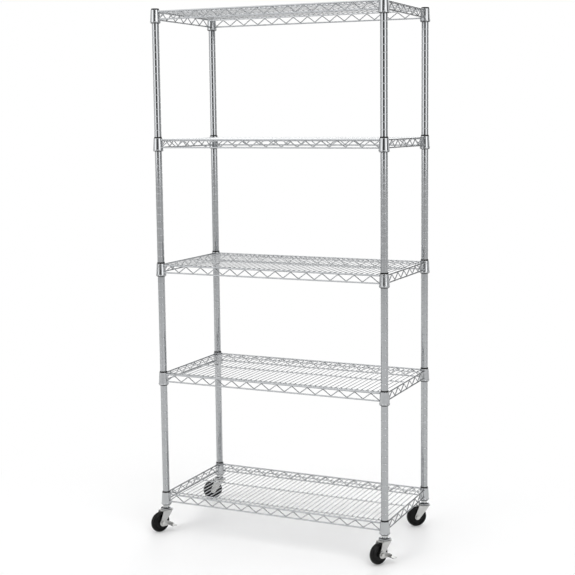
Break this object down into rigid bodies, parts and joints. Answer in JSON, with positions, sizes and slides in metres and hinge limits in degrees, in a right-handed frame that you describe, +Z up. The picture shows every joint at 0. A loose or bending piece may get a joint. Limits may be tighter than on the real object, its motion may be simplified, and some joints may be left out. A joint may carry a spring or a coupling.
{
  "type": "wire shelving rack",
  "caption": "Tall open wire shelving rack: grooved round posts carry wire decks on tapered corner collars, and the rack rolls on swivel casters.",
  "frame": {"origin": "on the floor under the centre of the four posts", "axes": "+Z up, +X to the rack's right, -Y to its front"},
  "size_m": [0.9802, 0.5059, 1.93],
  "materials": {
    "chrome_tube": "bright chrome",
    "chrome_wire": "bright chrome",
    "chrome_collar": "bright chrome",
    "chrome_race": "bright chrome",
    "plated_steel": "zinc plated",
    "zinc_fork": "zinc plated",
    "cap_plastic": "satin",
    "sleeve_plastic": "satin",
    "wheel_rubber": "semi-gloss"
  },
  "bodies": {
    "rack": {"post_lower_front_left": "chrome_tube", "post_upper_front_left": "chrome_tube", "post_lower_front_right": "chrome_tube", "post_upper_front_right": "chrome_tube", "post_lower_rear_right": "chrome_tube", "post_upper_rear_right": "chrome_tube", "post_lower_rear_left": "chrome_tube", "post_upper_rear_left": "chrome_tube", "post_couplers": "plated_steel", "post_caps": "cap_plastic", "post_inserts": "plated_steel", "top_shelf_rails": "chrome_wire", "top_shelf_zigzags": "chrome_wire", "top_shelf_deck": "chrome_wire", "top_shelf_collars": "chrome_collar", "top_shelf_sleeves": "sleeve_plastic", "upper_shelf_rails": "chrome_wire", "upper_shelf_zigzags": "chrome_wire", "upper_shelf_deck": "chrome_wire", "upper_shelf_collars": "chrome_collar", "upper_shelf_sleeves": "sleeve_plastic", "middle_shelf_rails": "chrome_wire", "middle_shelf_zigzags": "chrome_wire", "middle_shelf_deck": "chrome_wire", "middle_shelf_collars": "chrome_collar", "middle_shelf_sleeves": "sleeve_plastic", "lower_shelf_rails": "chrome_wire", "lower_shelf_zigzags": "chrome_wire", "lower_shelf_deck": "chrome_wire", "lower_shelf_collars": "chrome_collar", "lower_shelf_sleeves": "sleeve_plastic", "bottom_shelf_rails": "chrome_wire", "bottom_shelf_zigzags": "chrome_wire", "bottom_shelf_deck": "chrome_wire", "bottom_shelf_collars": "chrome_collar", "bottom_shelf_sleeves": "sleeve_plastic", "caster_stem_front_left": "chrome_race", "caster_stem_front_right": "chrome_race", "caster_stem_rear_right": "chrome_race", "caster_stem_rear_left": "chrome_race"},
    "swivel_front_left": {"caster_fork_front_left": "zinc_fork", "caster_axle_front_left": "plated_steel"},
    "wheel_front_left": {"caster_wheel_front_left": "wheel_rubber"},
    "brake_front_left": {"brake_lever_front_left": "zinc_fork"},
    "swivel_front_right": {"caster_fork_front_right": "zinc_fork", "caster_axle_front_right": "plated_steel"},
    "wheel_front_right": {"caster_wheel_front_right": "wheel_rubber"},
    "brake_front_right": {"brake_lever_front_right": "zinc_fork"},
    "swivel_rear_right": {"caster_fork_rear_right": "zinc_fork", "caster_axle_rear_right": "plated_steel"},
    "wheel_rear_right": {"caster_wheel_rear_right": "wheel_rubber"},
    "swivel_rear_left": {"caster_fork_rear_left": "zinc_fork", "caster_axle_rear_left": "plated_steel"},
    "wheel_rear_left": {"caster_wheel_rear_left": "wheel_rubber"}
  },
  "joints": [
    {"name": "swivel_front_left", "type": "hinge", "parent": "rack", "child": "swivel_front_left", "pos_m": [-0.438, -0.2095, 0.08], "axis": [0, 0, 1], "continuous": true},
    {"name": "roll_front_left", "type": "hinge", "parent": "swivel_front_left", "child": "wheel_front_left", "pos_m": [-0.45068, -0.23669, 0.038], "axis": [0.9063, -0.4226, 0], "continuous": true},
    {"name": "brake_front_left", "type": "hinge", "parent": "swivel_front_left", "child": "brake_front_left", "pos_m": [-0.45068, -0.23669, 0.038], "axis": [0.9063, -0.4226, 0], "range_deg": [-12, 12]},
    {"name": "swivel_front_right", "type": "hinge", "parent": "rack", "child": "swivel_front_right", "pos_m": [0.438, -0.2095, 0.08], "axis": [0, 0, 1], "continuous": true},
    {"name": "roll_front_right", "type": "hinge", "parent": "swivel_front_right", "child": "wheel_front_right", "pos_m": [0.42532, -0.23669, 0.038], "axis": [0.9063, -0.4226, 0], "continuous": true},
    {"name": "brake_front_right", "type": "hinge", "parent": "swivel_front_right", "child": "brake_front_right", "pos_m": [0.42532, -0.23669, 0.038], "axis": [0.9063, -0.4226, 0], "range_deg": [-12, 12]},
    {"name": "swivel_rear_right", "type": "hinge", "parent": "rack", "child": "swivel_rear_right", "pos_m": [0.438, 0.2095, 0.08], "axis": [0, 0, 1], "continuous": true},
    {"name": "roll_rear_right", "type": "hinge", "parent": "swivel_rear_right", "child": "wheel_rear_right", "pos_m": [0.41373, 0.19187, 0.038], "axis": [0.5878, -0.809, 0], "continuous": true},
    {"name": "swivel_rear_left", "type": "hinge", "parent": "rack", "child": "swivel_rear_left", "pos_m": [-0.438, 0.2095, 0.08], "axis": [0, 0, 1], "continuous": true},
    {"name": "roll_rear_left", "type": "hinge", "parent": "swivel_rear_left", "child": "wheel_rear_left", "pos_m": [-0.46227, 0.19187, 0.038], "axis": [0.5878, -0.809, 0], "continuous": true}
  ]
}
